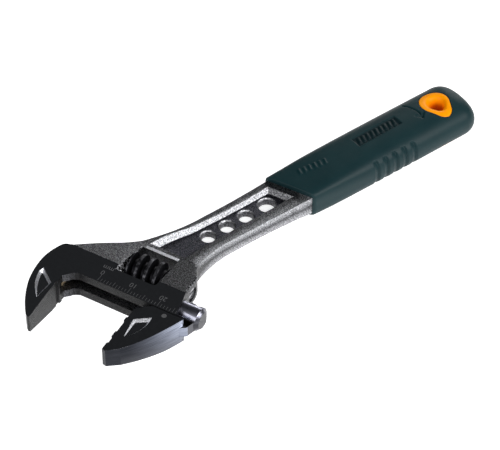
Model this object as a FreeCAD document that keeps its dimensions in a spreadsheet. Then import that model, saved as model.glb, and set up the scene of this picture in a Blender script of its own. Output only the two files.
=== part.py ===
import FreeCAD, Part
import math
import os

from FreeCAD import Placement, Rotation, Vector

# Adjustable wrench, 150 mm class, in millimetres.
#
# The object lies flat. Its handle runs along X, its thickness along Z. The head is slanted, so the jaws
# and the worm are drawn in the head frame: a runs along the jaw faces towards the handle, b runs from the
# movable jaw towards the fixed jaw, and the head frame is the handle frame turned by head_angle about Z.

SIZES = {
    # head
    "head_angle": 22.5,
    "head_thickness": 9.2,
    "forged_step": 0.15,
    "band_edge": 29.2,
    "slope_end": 42.0,
    "face_b": 3.85,
    "tip_a": 0.1,
    "fixed_tip_thickness": 6.2,
    "fixed_taper_end": 11.0,
    "cheek_front": 20.4,
    "slot_width": 3.76,
    "slot_top": 5.3,
    "bore_radius": 3.58,
    "bore_top": 7.8,
    "window_left": 27.0,
    "window_right": 39.6,
    "window_top": -9.3,
    "window_bottom": -21.4,
    "window_corner": 1.2,
    "rough_rim": 1.5,
    "pocket_depth": 0.8,
    "neck_round": 0.9,
    # handle and tang
    "handle_thickness": 6.2,
    "handle_waist": 5.1,
    "web_thickness": 2.9,
    "recess_taper": 42.0,
    "recess_left": 40.5,
    "recess_top": -9.9,
    "recess_bottom": -21.4,
    "recess_ramp_end": 44.3,
    "hole_start": 58.8,
    "hole_chamfer": 0.35,
    "tang_width": 10.0,
    "tang_thickness": 4.4,
    "tang_end": 140.0,
    # movable jaw
    "opening": 24.3,
    "ridge_height": 0.42,
    "jaw_thickness": 8.8,
    "jaw_tip_thickness": 6.4,
    "jaw_taper_end": 14.0,
    "rib_radius": 3.5,
    "rib_a": 26.0,
    "rib_top": -17.6,
    "rib_bottom": -37.8,
    "rib_chamfer": 0.9,
    "jaw_web_width": 3.6,
    "jaw_web_bottom": -37.55,
    # worm, its pin and its spring
    "worm_a": 33.2,
    "worm_radius": 5.5,
    "worm_root": 3.6,
    "worm_low": -20.6,
    "worm_high": -9.8,
    "worm_pitch": 3.1,
    "worm_crest": 0.9,
    "worm_flank": 20.0,
    "worm_phase": -18.11,
    "worm_bore": 1.65,
    "spring_pocket": 2.7,
    "spring_pocket_depth": 4.0,
    "pin_radius": 1.6,
    "pin_top": -5.2,
    "pin_head_radius": 2.3,
    "pin_head_seat": -27.9,
    "pin_head_height": 1.4,
    "spring_wire": 0.25,
    "spring_radius": 2.2,
    "spring_pitch": 1.05,
    # grip and hang eyelet
    "grip_front": 82.1,
    "eyelet_x": 145.65,
    "eyelet_y": 0.75,
    "eyelet_radius": 4.7,
    "eyelet_point": -6.1,
    "hang_hole_x": 146.0,
    "hang_hole_radius": 2.0,
    "hang_hole_mouth": 3.6,
    "hang_hole_mouth_depth": 2.4,
    # place of the handle frame in the finished part, set at the end
    "origin_x": 0.0,
    "origin_y": 0.0,
    "origin_z": 0.0,
}

# Places along the handle, and the radius of each lightening hole there.
HOLE_STEPS = (0.0, 6.9, 13.85, 21.65)
HOLE_RADII = (2.2, 2.25, 2.3, 2.65)

# Grip sections, each a rounded rectangle: place along the handle, half width, half thickness and corner.
GRIP_SECTIONS = (
    (78.0, 7.6, 4.1, 1.5),
    (90.0, 8.05, 4.6, 2.0),
    (102.0, 8.75, 5.35, 3.4),
    (112.0, 9.15, 5.85, 4.6),
    (122.0, 9.4, 6.15, 5.3),
    (132.0, 9.5, 6.28, 5.6),
    (142.0, 9.6, 6.28, 5.6),
    (149.0, 9.55, 6.1, 5.6),
    (153.0, 9.1, 5.6, 5.1),
    (155.3, 8.0, 4.5, 4.1),
    (156.4, 6.2, 2.9, 2.6),
)

doc = FreeCAD.newDocument("adjustable_wrench")
sheet = doc.addObject("Spreadsheet::Sheet", "Sizes")
for row, (alias, value) in enumerate(SIZES.items(), start=1):
    sheet.set(f"A{row}", alias)
    sheet.set(f"B{row}", str(value))
    sheet.setAlias(f"B{row}", alias)
doc.recompute()

ANGLE = math.radians(SIZES["head_angle"])
HALF_HEAD = SIZES["head_thickness"] / 2
LONG = 200.0
Z_AXIS = Vector(0, 0, 1)


def bind(obj, prop, formula):
    """Ties a property to the sheet: aliases in the formula are written as <alias>."""
    text = formula.replace("<", "Sizes.").replace(">", "")
    obj.setExpression(prop, text)


def head_to_handle(a, b):
    """A point of the head frame, in the handle frame."""
    x = a * math.cos(ANGLE) - b * math.sin(ANGLE)
    y = a * math.sin(ANGLE) + b * math.cos(ANGLE)
    return (x, y)


# ---------------------------------------------------------------- building helpers


def new_body(label):
    body = doc.addObject("PartDesign::Body", label)
    body.Label = label
    return body


def plane_of(body, role):
    for feature in body.Origin.OriginFeatures:
        if feature.Role == role:
            return feature
    raise ValueError(role)


def new_sketch(body, name, role="XY_Plane", offset=Placement()):
    sketch = body.newObject("Sketcher::SketchObject", name)
    sketch.AttachmentSupport = [(plane_of(body, role), "")]
    sketch.MapMode = "FlatFace"
    sketch.AttachmentOffset = offset
    return sketch


def draw(sketch, steps):
    """Closes a loop: each step is a point for a straight line, or (through, end) for an arc."""
    first = steps[0]
    last = Vector(*first, 0)
    closing = [] if steps[-1][-1] == first else [first]
    for step in list(steps[1:]) + closing:
        if isinstance(step[0], tuple):
            through = Vector(*step[0], 0)
            end = Vector(*step[1], 0)
            sketch.addGeometry(Part.Arc(last, through, end), False)
        else:
            end = Vector(*step, 0)
            sketch.addGeometry(Part.LineSegment(last, end), False)
        last = end


def draw_circle(sketch, centre, radius):
    sketch.addGeometry(Part.Circle(Vector(*centre, 0), Z_AXIS, radius), False)


def pad(body, sketch, name, formula, midplane=True):
    feature = body.newObject("PartDesign::Pad", name)
    feature.Profile = sketch
    feature.Midplane = midplane
    bind(feature, "Length", formula)
    doc.recompute()
    return feature


def pocket(body, sketch, name, formula=None, midplane=False, reverse=False, taper=None):
    """Cuts the sketch out of the body, and stops if the cut took nothing away."""
    before = body.Shape.Volume
    feature = body.newObject("PartDesign::Pocket", name)
    feature.Profile = sketch
    feature.Midplane = midplane
    feature.Reversed = reverse
    if formula:
        bind(feature, "Length", formula)
    else:
        feature.Length = LONG
    if taper:
        bind(feature, "TaperAngle", taper)
    doc.recompute()
    if body.Shape.Volume > before - 1e-3:
        raise RuntimeError(name + " cut nothing")
    return feature


def mirror(body, features, name):
    """Repeats cuts on the other side of the mid plane."""
    feature = body.newObject("PartDesign::Mirrored", name)
    feature.Originals = features
    feature.MirrorPlane = (plane_of(body, "XY_Plane"), [""])
    body.Tip = feature
    doc.recompute()
    return feature


def thin_tip(body, name, offset, jaw, full, tip_a):
    """Tapers a jaw on both sides, from its full thickness down to the thickness at its tip."""
    end_a = SIZES[jaw + "_taper_end"]
    half = SIZES[full] / 2
    tip = SIZES[jaw + "_tip_thickness"] / 2
    beyond = 3.0
    over = half + 1
    low = tip - beyond * (half - tip) / (end_a - tip_a)
    sketch = new_sketch(body, name + "Sketch", "XZ_Plane", offset)
    draw(sketch, [(tip_a - beyond, low), (end_a, half), (end_a, over), (tip_a - beyond, over)])
    cut = pocket(body, sketch, name, midplane=True)
    mirror(body, [cut], name + "Both")


def soften(body, kind, name, prop, amount, wanted):
    """Fillets or chamfers the edges that wanted() picks."""
    base = body.Tip
    names = [
        f"Edge{index}"
        for index, edge in enumerate(base.Shape.Edges, start=1)
        if wanted(edge)
    ]
    feature = body.newObject("PartDesign::" + kind, name)
    feature.Base = (base, names)
    bind(feature, prop, amount)
    doc.recompute()
    return feature


HEAD_TURN = Placement(Vector(), Rotation(Z_AXIS, SIZES["head_angle"]))


def head_section(b):
    """Sketch offset on XZ_Plane: local x runs along a, local y along Z, at the given b, facing -b."""
    base = Vector(-b * math.sin(ANGLE), 0, -b * math.cos(ANGLE))
    return Placement(base, Rotation(Vector(0, 1, 0), SIZES["head_angle"]))


def head_cross_section(a):
    """Sketch offset on YZ_Plane: local x runs along b, local y along Z, at the given a, facing +a."""
    base = Vector(a * math.sin(ANGLE), 0, a * math.cos(ANGLE))
    return Placement(base, Rotation(Vector(0, 1, 0), SIZES["head_angle"]))


def place(obj, turn=Rotation()):
    """Sets a finished sub-part in the row frame."""
    obj.Placement = Placement(Vector(), turn)
    for axis in ("x", "y", "z"):
        bind(obj, "Placement.Base." + axis, "<origin_" + axis + ">")


HEAD_ROTATION = Rotation(Z_AXIS, SIZES["head_angle"])
# Local Z along b, local X along a: the frame of the worm, its pin and its spring.
WORM_ROTATION = HEAD_ROTATION.multiply(Rotation(Vector(1, 0, 0), -90))


# ---------------------------------------------------------------- forged body


def head_outline():
    """Outline of the head and of the neck behind it, in the head frame."""
    face = SIZES["face_b"]
    tip = SIZES["tip_a"]
    front = SIZES["cheek_front"]
    return [
        (tip, face),
        # jaw face with the small step and the tooth at its root
        (13.3, face),
        (13.3, face + 0.25),
        (14.6, face + 0.25),
        (14.8, face - 0.25),
        (15.8, face - 0.25),
        (16.0, face),
        (17.3, face),
        # faceted throat
        (18.2, 3.0),
        (18.7, 2.45),
        (19.3, 2.1),
        (19.9, 1.2),
        (front, 0.2),
        # cheek front and the end of the head
        (front, -32.2),
        ((24.8, -31.3), (29.0, -30.3)),
        (33.6, -29.9),
        ((36.4, -29.5), (38.5, -28.4)),
        ((42.0, -26.6), (46.0, -25.9)),
        # across the neck, inside the handle
        (50.0, -14.0),
        # upper flank
        ((42.6, -8.55), (37.85, -3.35)),
        ((33.0, 3.5), (29.4, 7.9)),
        # back of the fixed jaw
        (28.9, 8.6),
        ((28.5, 9.9), (27.3, 10.9)),
        ((24.2, 12.0), (20.5, 12.6)),
        ((9.0, 10.4), (0.7, 5.4)),
        (tip, 4.6),
    ]


def handle_outline():
    """Outline of the handle from the neck to the tang, in the handle frame."""
    return [
        (40.0, 9.3),
        ((49.5, 7.0), (62.0, 6.4)),
        ((77.0, 6.6), (95.0, 7.4)),
        (95.0, -7.4),
        ((77.0, -6.6), (62.0, -6.4)),
        ((54.0, -7.3), (48.0, -9.3)),
        (44.0, -11.0),
    ]


def cut_head_slopes(body):
    """Behind the polished band the forging steps down a little and slopes to the handle's thickness."""
    edge = SIZES["band_edge"]
    step = HALF_HEAD - SIZES["forged_step"]
    low = SIZES["handle_thickness"] / 2
    over = HALF_HEAD + 2
    sketch = new_sketch(body, "SlopeSketch", "XZ_Plane", head_section(0))
    draw(sketch, [(edge, over), (edge, step), (SIZES["slope_end"], low), (60, low), (60, over)])
    cut = pocket(body, sketch, "HeadSlope", midplane=True)
    mirror(body, [cut], "HeadSlopes")


def cut_handle_waist(body):
    """The handle is thinner in its middle: one long shallow arc on each side."""
    low = SIZES["handle_waist"] / 2
    high = SIZES["handle_thickness"] / 2
    over = HALF_HEAD + 2
    sketch = new_sketch(body, "WaistSketch", "XZ_Plane")
    draw(sketch, [(48, high), ((68, low), (92, high)), (92, over), (48, over)])
    cut = pocket(body, sketch, "Waist", midplane=True)
    mirror(body, [cut], "Waists")


def cut_jaw_pocket(body):
    """Shallow recess in each side of the fixed jaw, along its curved back."""
    top = Placement(Vector(0, 0, HALF_HEAD), Rotation())
    sketch = new_sketch(body, "JawPocketSketch", "XY_Plane", HEAD_TURN.multiply(top))
    draw(sketch, [(6.0, 5.3), (13.4, 5.0), (17.2, 10.1), (15.6, 10.5), ((10.8, 8.9), (6.0, 5.7))])
    cut = pocket(body, sketch, "JawPocket", "<pocket_depth>", taper="0 - <recess_taper>")
    mirror(body, [cut], "JawPockets")


def cut_handle_recess(body):
    """Long recess in each side of the handle, with sloping walls down to the web."""
    top = Placement(Vector(0, 0, SIZES["handle_thickness"] / 2), Rotation())
    left = SIZES["recess_left"]
    right = 80.2
    upper_left = head_to_handle(left, SIZES["recess_top"])
    lower_left = head_to_handle(left, SIZES["recess_bottom"])
    upper_right = head_to_handle(right, -27.7)
    lower_right = head_to_handle(right, -36.9)
    sketch = new_sketch(body, "RecessSketch", "XY_Plane", top)
    draw(
        sketch,
        [
            lower_left,
            lower_right,
            upper_right,
            ((66.0, 5.0), (55.5, 5.35)),
            ((48.0, 6.3), upper_left),
        ],
    )
    depth = "(<handle_thickness> - <web_thickness>) / 2"
    cut = pocket(body, sketch, "Recess", depth, taper="0 - <recess_taper>")
    mirror(body, [cut], "Recesses")
    fill_recess_end(body)


def fill_recess_end(body):
    """The recess ends towards the worm's window in a hollow ramp, up to a narrow ridge."""
    start = SIZES["recess_left"]
    end = SIZES["recess_ramp_end"]
    ridge = 3.18
    # the ramp reaches a little into the recess's side walls
    overlap = 0.05
    web = SIZES["web_thickness"] / 2
    middle = (start + 0.36 * (end - start), web + 0.32 * (ridge - web))
    sketch = new_sketch(body, "RampSketch", "XZ_Plane", head_section(SIZES["recess_top"] + overlap))
    draw(
        sketch,
        [
            (start, -ridge),
            (start, ridge),
            (middle, (end, web)),
            (end, -web),
            ((middle[0], -middle[1]), (start, -ridge)),
        ],
    )
    pad(body, sketch, "Ramp", "<recess_top> - <recess_bottom> + 0.85", midplane=False)


def cut_lightening_holes(body):
    """Row of round holes through the web, each with a chamfered rim on both sides."""
    sketch = new_sketch(body, "HolesSketch")
    web_face = Placement(Vector(0, 0, SIZES["web_thickness"] / 2), Rotation())
    rims = new_sketch(body, "HoleRimsSketch", "XY_Plane", web_face)
    for step, radius in zip(HOLE_STEPS, HOLE_RADII):
        centre = (SIZES["hole_start"] + step, 0)
        draw_circle(sketch, centre, radius)
        draw_circle(rims, centre, radius + SIZES["hole_chamfer"])
    pocket(body, sketch, "Holes", midplane=True)
    cut = pocket(body, rims, "HoleRims", "<hole_chamfer>", taper="0 - 45")
    mirror(body, [cut], "HoleRimsBoth")


def cut_slot_and_bore(body):
    """Slot between the cheeks for the jaw's web, and the round bore that guides the jaw's rib."""
    front = SIZES["cheek_front"] - 5
    rib = SIZES["rib_a"]
    sketch = new_sketch(body, "SlotSketch", "XY_Plane", HEAD_TURN)
    top = SIZES["slot_top"]
    draw(sketch, [(front, -40), (rib, -40), (rib, top), (front, top)])
    pocket(body, sketch, "Slot", "<slot_width>", midplane=True)
    sketch = new_sketch(body, "BoreSketch", "XZ_Plane", head_section(SIZES["bore_top"]))
    draw_circle(sketch, (rib, 0), SIZES["bore_radius"])
    pocket(body, sketch, "RibBore", reverse=True)


def cut_worm_room(body):
    """Window for the worm, the hole for its pin and the counterbore for the pin's head."""
    sketch = new_sketch(body, "WindowSketch", "XY_Plane", HEAD_TURN)
    left = SIZES["window_left"]
    right = SIZES["window_right"]
    top = SIZES["window_top"]
    bottom = SIZES["window_bottom"]
    corner = SIZES["window_corner"]
    inset = corner * (1 - math.sqrt(0.5))
    rounded = ((left + inset, bottom + inset), (left + corner, bottom))
    draw(sketch, [(left, top), (left, bottom + corner), rounded, (right, bottom), (right, top)])
    pocket(body, sketch, "Window", midplane=True)
    # rough sloping rim along the window's upper wall
    rim = SIZES["rough_rim"]
    sketch = new_sketch(body, "RimSketch", "YZ_Plane", head_cross_section(left))
    draw(sketch, [(top, HALF_HEAD - rim), (top + rim, HALF_HEAD), (top + rim, 6), (top - 1, 6), (top - 1, 3)])
    cut = pocket(body, sketch, "RoughRim", "<window_right> - <window_left>", reverse=True)
    mirror(body, [cut], "RoughRims")
    centre = (SIZES["worm_a"], 0)
    sketch = new_sketch(body, "PinHoleSketch", "XZ_Plane", head_section(SIZES["pin_top"]))
    draw_circle(sketch, centre, SIZES["pin_radius"])
    pocket(body, sketch, "PinHole", reverse=True)
    sketch = new_sketch(body, "PinSeatSketch", "XZ_Plane", head_section(SIZES["pin_head_seat"]))
    draw_circle(sketch, centre, SIZES["pin_head_radius"])
    pocket(body, sketch, "PinSeat", reverse=True)


def round_neck(body):
    """Rounds the forging's edges round the lower end of the head, on both sides."""

    def at_neck(edge):
        middle = edge.CenterOfMass
        a = middle.x * math.cos(ANGLE) + middle.y * math.sin(ANGLE)
        b = -middle.x * math.sin(ANGLE) + middle.y * math.cos(ANGLE)
        lies_flat = edge.BoundBox.ZLength < 2.0 < abs(middle.z)
        return lies_flat and a > SIZES["band_edge"] + 0.1 and b < -25.0

    soften(body, "Fillet", "NeckEdges", "Radius", "<neck_round>", at_neck)


def make_forged_body():
    body = new_body("forged_body")
    sketch = new_sketch(body, "HeadSketch", "XY_Plane", HEAD_TURN)
    draw(sketch, head_outline())
    pad(body, sketch, "Head", "<head_thickness>")
    cut_head_slopes(body)
    round_neck(body)
    sketch = new_sketch(body, "HandleSketch")
    draw(sketch, handle_outline())
    pad(body, sketch, "Handle", "<handle_thickness>")
    cut_handle_waist(body)
    half = SIZES["tang_width"] / 2
    sketch = new_sketch(body, "TangSketch")
    draw(sketch, [(94, -half), (SIZES["tang_end"], -half), (SIZES["tang_end"], half), (94, half)])
    pad(body, sketch, "Tang", "<tang_thickness>")
    thin_tip(body, "TipTaper", head_section(0), "fixed", "head_thickness", SIZES["tip_a"])
    cut_jaw_pocket(body)
    cut_handle_recess(body)
    cut_lightening_holes(body)
    cut_slot_and_bore(body)
    cut_worm_room(body)
    place(body)
    return body


# ---------------------------------------------------------------- movable jaw


def jaw_outline():
    """Outline of the movable jaw's nose, in the head frame, at the stored opening."""
    ridge = SIZES["face_b"] - SIZES["opening"]
    base = ridge - SIZES["ridge_height"]
    back = SIZES["cheek_front"] - 0.15
    return [
        (-0.1, ridge - 1.2),
        (0.2, ridge),
        # three low ridges across the jaw face
        (2.6, ridge),
        (3.0, base),
        (4.8, base),
        (5.2, ridge),
        (7.1, ridge),
        (7.5, base),
        (11.2, base),
        (11.6, ridge),
        (12.8, ridge),
        (13.2, base),
        (16.6, base),
        # corner that clears the throat of the fixed jaw
        ((18.4, base - 1.7), (back, base - 3.9)),
        (back, -34.9),
        # brushed convex back
        ((9.6, -30.0), (2.6, -24.9)),
    ]


def make_movable_jaw():
    body = new_body("movable_jaw")
    sketch = new_sketch(body, "NoseSketch")
    draw(sketch, jaw_outline())
    pad(body, sketch, "Nose", "<jaw_thickness>")
    thickness = SIZES["jaw_thickness"]
    thin_tip(body, "NoseTaper", Placement(), "jaw", "jaw_thickness", 0.0)
    # pocket in each side of the nose
    top = Placement(Vector(0, 0, thickness / 2), Rotation())
    sketch = new_sketch(body, "NosePocketSketch", "XY_Plane", top)
    draw(sketch, [(6.0, -23.0), (13.2, -22.7), (16.2, -27.0), ((11.0, -26.8), (6.0, -23.7))])
    cut = pocket(body, sketch, "NosePocket", "<pocket_depth>", taper="0 - <recess_taper>")
    mirror(body, [cut], "NosePockets")
    # web that runs in the slot
    top_b = SIZES["face_b"] - SIZES["opening"] + 0.9
    bottom_b = SIZES["jaw_web_bottom"]
    rib = SIZES["rib_a"]
    sketch = new_sketch(body, "WebSketch")
    draw(
        sketch,
        [
            (18.6, -34.4),
            (19.9, -36.05),
            (25.5, bottom_b),
            (rib, bottom_b),
            (rib, top_b),
            (18.0, top_b - 2),
        ],
    )
    pad(body, sketch, "Web", "<jaw_web_width>")
    # round rib with a chamfered end
    rib_top = Placement(Vector(0, 0, -SIZES["rib_top"]), Rotation())
    sketch = new_sketch(body, "RibSketch", "XZ_Plane", rib_top)
    draw_circle(sketch, (rib, 0), SIZES["rib_radius"])
    pad(body, sketch, "Rib", "<rib_top> - <rib_bottom>", midplane=False)

    def is_rib_end(edge):
        at_end = abs(edge.CenterOfMass.y - SIZES["rib_bottom"]) < 0.01
        return at_end and isinstance(edge.Curve, Part.Circle)

    soften(body, "Chamfer", "RibEnd", "Size", "<rib_chamfer>", is_rib_end)
    cut_rack(body)
    place(body, HEAD_ROTATION)
    return body


def cut_rack(body):
    """Rack grooves in the rib's back: the worm's thread runs in them with a little room on each flank."""
    pitch = SIZES["worm_pitch"]
    room = 0.15
    lean = pitch / (2 * math.pi * 4.7)
    flank = math.tan(math.radians(SIZES["worm_flank"]))
    inner_a = SIZES["worm_a"] - SIZES["worm_radius"] - 0.2
    outer_a = inner_a + 3.0
    half_inner = SIZES["worm_crest"] / 2 + room
    half_outer = half_inner + (outer_a - inner_a) * flank
    crest = SIZES["worm_phase"] + pitch / 2
    tilt = math.degrees(math.atan(lean))
    for count in range(8):
        middle = crest - pitch * count
        frame = Placement(Vector(0, middle, 0), Rotation(Vector(1, 0, 0), -tilt))
        sketch = new_sketch(body, f"GrooveSketch{count}", "XY_Plane", frame)
        draw(
            sketch,
            [(inner_a, -half_inner), (outer_a, -half_outer), (outer_a, half_outer), (inner_a, half_inner)],
        )
        pocket(body, sketch, f"Groove{count}", midplane=True)


# ---------------------------------------------------------------- worm, pin and spring


def add(kind, name, **values):
    """A Part object whose properties are formulas of the sheet."""
    obj = doc.addObject("Part::" + kind, name)
    for prop, formula in values.items():
        bind(obj, prop, formula)
    return obj


def helix_sweep(name, points, pitch, height, radius, start):
    """Sweeps a closed profile, drawn in the X-Z plane, along a right-hand helix about Z."""
    spine = add("Helix", name + "Helix", Pitch=pitch, Height=height, Radius=radius)
    spine.Placement = Placement(Vector(0, 0, start), Rotation())
    profile = doc.addObject("Part::Polygon", name + "Profile")
    profile.Nodes = [Vector(x, 0, z + start) for x, z in points]
    profile.Close = True
    sweep = doc.addObject("Part::Sweep", name)
    sweep.Sections = [profile]
    sweep.Spine = (spine, ["Edge1"])
    sweep.Solid = True
    sweep.Frenet = True
    doc.recompute()
    return sweep


def make_worm():
    radius = SIZES["worm_radius"]
    deep = SIZES["worm_root"] - 0.25
    crest = SIZES["worm_crest"] / 2
    base = crest + (radius - deep) * math.tan(math.radians(SIZES["worm_flank"]))
    start = SIZES["worm_phase"] - 2 * SIZES["worm_pitch"]
    profile = [(deep, -base), (radius + 0.3, -crest + 0.1), (radius + 0.3, crest - 0.1), (deep, base)]
    thread = helix_sweep("WormThread", profile, "<worm_pitch>", "<worm_pitch> * 6", "<worm_root>", start)
    low = SIZES["worm_low"]
    length = "<worm_high> - <worm_low>"
    blank = add("Cylinder", "WormBlank", Radius="<worm_radius>", Height=length)
    core = add("Cylinder", "WormCore", Radius="<worm_root>", Height=length)
    bore = add("Cylinder", "WormBore", Radius="<worm_bore>", Height=length + " + 2")
    seat = add("Cylinder", "SpringSeat", Radius="<spring_pocket>", Height="<spring_pocket_depth> + 1")
    for tool, height in ((blank, low), (core, low), (bore, low - 1), (seat, low - 1)):
        tool.Placement = Placement(Vector(0, 0, height), Rotation())
    trimmed = doc.addObject("Part::Common", "WormTrim")
    trimmed.Base = blank
    trimmed.Tool = thread
    solid = doc.addObject("Part::Fuse", "WormSolid")
    solid.Base = core
    solid.Tool = trimmed
    drilled = doc.addObject("Part::Cut", "WormDrilled")
    drilled.Base = solid
    drilled.Tool = bore
    worm = doc.addObject("Part::Cut", "adjusting_worm")
    worm.Label = "adjusting_worm"
    worm.Base = drilled
    worm.Tool = seat
    doc.recompute()
    place_on_worm_axis(worm)
    return worm


def place_on_worm_axis(obj):
    """Puts a piece built about local Z on the worm's axis."""
    offset_x = "cos(<head_angle>) * <worm_a>"
    offset_y = "sin(<head_angle>) * <worm_a>"
    place(obj, WORM_ROTATION)
    bind(obj, "Placement.Base.x", "<origin_x> + " + offset_x)
    bind(obj, "Placement.Base.y", "<origin_y> + " + offset_y)


def make_pin():
    """Slotted pin that the worm turns on."""
    seat = SIZES["pin_head_seat"]
    height = SIZES["pin_head_height"]
    shaft = add("Cylinder", "PinShaft", Radius="<pin_radius> - 0.02", Height="<pin_top> - <pin_head_seat>")
    shaft.Placement = Placement(Vector(0, 0, seat), Rotation())
    head = add("Cylinder", "PinHead", Radius="<pin_head_radius> - 0.05", Height="<pin_head_height>")
    head.Placement = Placement(Vector(0, 0, seat - height), Rotation())
    whole = doc.addObject("Part::Fuse", "PinWhole")
    whole.Base = shaft
    whole.Tool = head
    driver_slot = add("Box", "PinSlot", Length="<pin_head_radius> * 2", Width="0.7 mm", Height="0.7 mm")
    driver_slot.Placement = Placement(
        Vector(-SIZES["pin_head_radius"], -0.35, seat - height - 0.05), Rotation()
    )
    pin = doc.addObject("Part::Cut", "worm_pin")
    pin.Label = "worm_pin"
    pin.Base = whole
    pin.Tool = driver_slot
    doc.recompute()
    place_on_worm_axis(pin)
    return pin


def make_spring():
    """Small compression spring in the worm's counterbore, round the pin."""
    wire = SIZES["spring_wire"]
    radius = SIZES["spring_radius"]
    start = SIZES["window_bottom"] + wire + 0.05
    sides = 10
    turn = 2 * math.pi / sides
    profile = [
        (radius + wire * math.cos(turn * step), wire * math.sin(turn * step)) for step in range(sides)
    ]
    height = "<spring_pitch> * 4"
    spring = helix_sweep("worm_spring", profile, "<spring_pitch>", height, "<spring_radius>", start)
    spring.Label = "worm_spring"
    place_on_worm_axis(spring)
    return spring


# ---------------------------------------------------------------- grip and eyelet


def rounded_rectangle(half_width, half_height, corner):
    """Steps of a rectangle about the origin with round corners, for draw()."""
    inset = corner * (1 - math.sqrt(0.5))
    steps = [(-half_width, half_height - corner)]
    for side_x, side_y in ((-1, 1), (1, 1), (1, -1), (-1, -1)):
        through = (side_x * (half_width - inset), side_y * (half_height - inset))
        along = (side_x * (half_width - corner), side_y * half_height)
        up = (side_x * half_width, side_y * (half_height - corner))
        entry, leave = (up, along) if side_x * side_y < 0 else (along, up)
        if entry != steps[0]:
            steps.append(entry)
        steps.append((through, leave))
    return steps


def grip_form(name):
    """Outer form of the grip: rounded sections along the handle, cut square to the jaws in front."""
    sections = []
    upright = Rotation(Vector(1, 1, 1), 120)
    for number, (place_x, half_width, half_thickness, corner) in enumerate(GRIP_SECTIONS):
        section = doc.addObject("Sketcher::SketchObject", f"{name}Section{number}")
        draw(section, rounded_rectangle(half_width, half_thickness, corner))
        section.Placement = Placement(Vector(place_x, 0, 0), upright)
        sections.append(section)
    form = doc.addObject("Part::Loft", name + "Loft")
    form.Sections = sections
    form.Solid = True
    form.Ruled = False
    front = add("Box", name + "FrontTool", Length="30 mm", Width="60 mm", Height="30 mm")
    corner = head_to_handle(SIZES["grip_front"] - 30, -60)
    front.Placement = Placement(Vector(*corner, -15), HEAD_ROTATION)
    shaped = doc.addObject("Part::Cut", name)
    shaped.Base = form
    shaped.Tool = front
    doc.recompute()
    return shaped


def teardrop(name):
    """Teardrop prism through the grip: a round part with a point towards -Y."""
    centre_x = SIZES["eyelet_x"]
    centre_y = SIZES["eyelet_y"]
    radius = SIZES["eyelet_radius"]
    point = SIZES["eyelet_point"]
    spread = math.acos(radius / (centre_y - point))
    side_x = radius * math.sin(spread)
    side_y = centre_y - radius * math.cos(spread)
    sketch = doc.addObject("Sketcher::SketchObject", name + "Sketch")
    draw(
        sketch,
        [
            (centre_x, point),
            (centre_x + side_x, side_y),
            ((centre_x, centre_y + radius), (centre_x - side_x, side_y)),
        ],
    )
    prism = doc.addObject("Part::Extrusion", name)
    prism.Base = sketch
    prism.Dir = Z_AXIS
    prism.DirMode = "Custom"
    prism.LengthFwd = 20
    prism.LengthRev = 20
    prism.Solid = True
    doc.recompute()
    return prism


def make_grip():
    form = grip_form("GripForm")
    sheath = doc.addObject("Part::Cut", "GripSheath")
    sheath.Base = form
    core = doc.addObject("Part::Extrusion", "GripCore")
    outline = doc.addObject("Sketcher::SketchObject", "GripCoreSketch")
    draw(outline, handle_outline())
    core.Base = outline
    core.DirMode = "Custom"
    core.Dir = Z_AXIS
    core.Symmetric = True
    core.Solid = True
    bind(core, "LengthFwd", "<handle_thickness>")
    tang = add(
        "Box", "GripTang", Length="<tang_end> - 90", Width="<tang_width>", Height="<tang_thickness>"
    )
    tang.Placement = Placement(Vector(90, -SIZES["tang_width"] / 2, -SIZES["tang_thickness"] / 2), Rotation())
    hole = teardrop("GripHole")
    tools = doc.addObject("Part::MultiFuse", "GripTools")
    tools.Shapes = [core, tang, hole]
    doc.recompute()
    sheath.Tool = tools
    sheath.Label = "grip_sleeve"
    doc.recompute()
    place(sheath)
    return sheath


def make_eyelet():
    form = grip_form("EyeletForm")
    prism = teardrop("EyeletPrism")
    blank = doc.addObject("Part::Common", "EyeletBlank")
    blank.Base = form
    blank.Tool = prism
    bore = add("Cylinder", "EyeletBore", Radius="<hang_hole_radius>", Height="40 mm")
    centre = SIZES["hang_hole_x"]
    bore.Placement = Placement(Vector(centre, 0, -20), Rotation())
    tools = [bore]
    top = max(section[2] for section in GRIP_SECTIONS) + 0.1
    for name, flip in (("EyeletMouthTop", 0), ("EyeletMouthBottom", 180)):
        mouth = add(
            "Cone",
            name,
            Radius1="<hang_hole_mouth>",
            Radius2="<hang_hole_radius>",
            Height="<hang_hole_mouth_depth>",
        )
        side = -1 if flip else 1
        mouth.Placement = Placement(Vector(centre, 0, side * top), Rotation(Vector(1, 0, 0), 180 - flip))
        tools.append(mouth)
    funnel = doc.addObject("Part::MultiFuse", "EyeletFunnel")
    funnel.Shapes = tools
    eyelet = doc.addObject("Part::Cut", "hang_eyelet")
    eyelet.Label = "hang_eyelet"
    eyelet.Base = blank
    eyelet.Tool = funnel
    doc.recompute()
    place(eyelet)
    return eyelet


# ---------------------------------------------------------------- assembly and output


def centre_on_base(parts):
    """Moves the row frame's origin to the middle of the underside of the whole object's box."""
    box = FreeCAD.BoundBox()
    for part in parts:
        box.add(part.Shape.optimalBoundingBox())
    for alias, value in (("origin_x", -box.Center.x), ("origin_y", -box.Center.y), ("origin_z", -box.ZMin)):
        cell = sheet.getCellFromAlias(alias)
        sheet.set(cell, f"{value:.4f}")
    doc.recompute()


def check_document(parts):
    for obj in doc.Objects:
        if "Invalid" in obj.State or "Error" in obj.State:
            raise RuntimeError(f"{obj.Label} failed")
    for part in parts:
        if part.Shape.isNull() or not part.Shape.isValid():
            raise RuntimeError(f"{part.Label} has no valid shape")


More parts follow.
